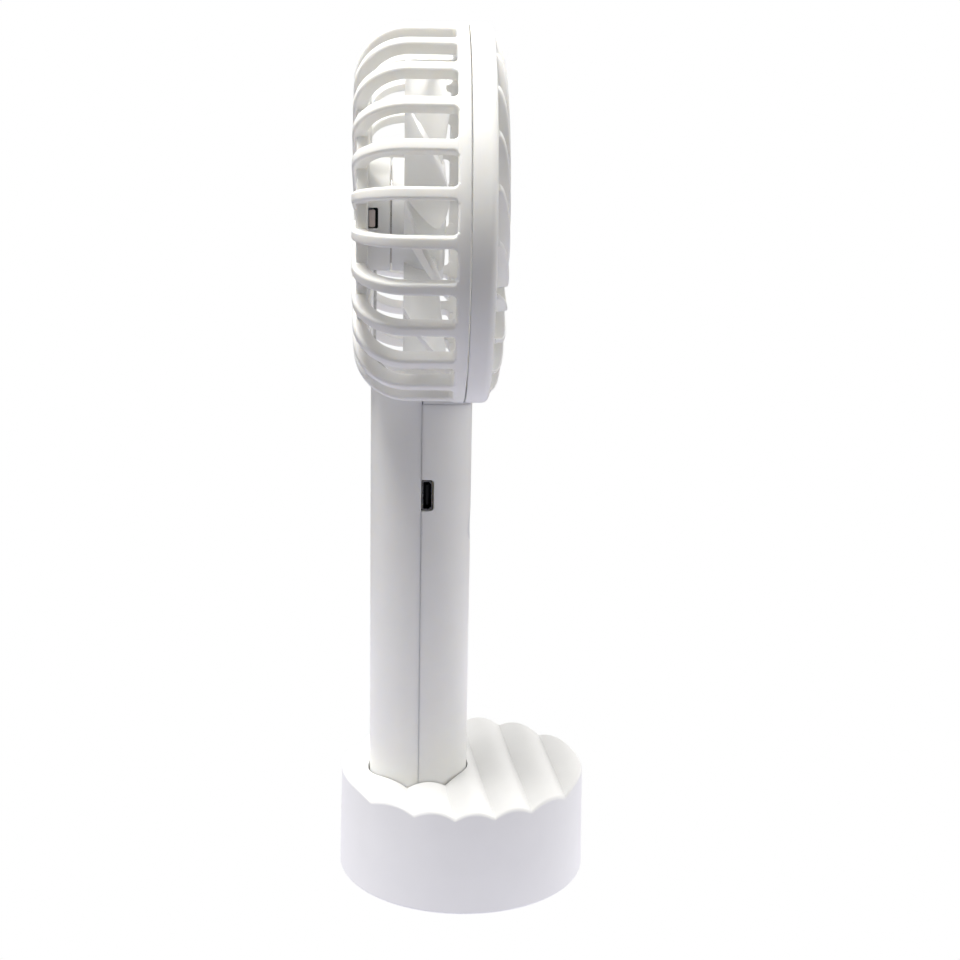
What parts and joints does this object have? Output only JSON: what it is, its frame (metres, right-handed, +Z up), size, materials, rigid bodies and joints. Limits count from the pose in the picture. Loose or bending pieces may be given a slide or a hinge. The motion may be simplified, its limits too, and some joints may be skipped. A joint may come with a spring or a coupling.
{
  "type": "handheld electric fan",
  "caption": "Round-headed hand fan with a caged impeller and a straight round handle, standing in a drum-shaped desk base with a ridged top.",
  "frame": {"origin": "centre of the base's round underside, on the surface that the fan stands on", "axes": "+X is the way the fan blows, +Z is up, and the charging port is on the -Y side"},
  "size_m": [0.066, 0.094, 0.2237],
  "materials": {
    "head_plastic": "satin moulded plastic, slightly warm white",
    "badge_plastic": "satin moulded plastic, plain",
    "blade_plastic": "smooth moulded plastic",
    "base_plastic": "satin moulded plastic, slightly cool white",
    "button_plastic": "satin",
    "black_plastic": "matt moulded plastic",
    "pad_rubber": "matt foam rubber",
    "screw_steel": "zinc plated",
    "motor_steel": "drawn and plated",
    "usb_steel": "tinned",
    "nickel": "nickel strip",
    "bush_bronze": "sintered bronze",
    "copper_winding": "enamelled copper wire on a steel core",
    "magnet": "sintered ferrite",
    "board_green": "solder mask",
    "cell_wrap": "shrink sleeve",
    "wire_red": "wire sleeve",
    "wire_black": "wire sleeve",
    "wire_white": "wire sleeve",
    "terminal_metal": "tinned brass strip",
    "led_clear": "clear moulded plastic"
  },
  "bodies": {
    "base": {"base_shell": "base_plastic", "base_plate": "base_plastic", "base_pad": "pad_rubber", "base_screw_1": "screw_steel", "base_screw_2": "screw_steel", "base_screw_3": "screw_steel"},
    "fan": {"rear_shell": "head_plastic", "front_shell": "head_plastic", "front_grille": "head_plastic", "grille_badge": "badge_plastic", "motor_holder": "head_plastic", "motor_can": "motor_steel", "motor_end_cap": "black_plastic", "motor_bush_front": "bush_bronze", "motor_bush_rear": "bush_bronze", "motor_magnet_upper": "magnet", "motor_magnet_lower": "magnet", "battery_cell": "cell_wrap", "battery_tab_bottom": "nickel", "battery_tab_top": "nickel", "battery_wire_negative": "wire_black", "battery_wire_positive": "wire_red", "circuit_board": "board_green", "board_screw_lower": "screw_steel", "board_screw_upper": "screw_steel", "usb_socket": "usb_steel", "usb_tongue": "black_plastic", "button_switch": "black_plastic", "charge_led": "led_clear", "lamp_lens": "led_clear", "motor_wire_positive": "wire_white", "motor_wire_negative": "wire_white", "motor_terminal_positive": "terminal_metal", "motor_terminal_negative": "terminal_metal"},
    "impeller": {"impeller": "blade_plastic", "motor_shaft": "motor_steel", "motor_armature": "copper_winding"},
    "button": {"power_button": "button_plastic", "switch_plunger": "black_plastic"}
  },
  "joints": [
    {"name": "fan_lift", "type": "slide", "parent": "base", "child": "fan", "axis": [0, 0, 1], "range_m": [0, 0.03]},
    {"name": "impeller_spin", "type": "hinge", "parent": "fan", "child": "impeller", "pos_m": [-0.012, 0, 0.1767], "axis": [1, 0, 0], "continuous": true},
    {"name": "button_press", "type": "slide", "parent": "fan", "child": "button", "axis": [-1, 0, 0], "range_m": [0, 0.0005]}
  ]
}
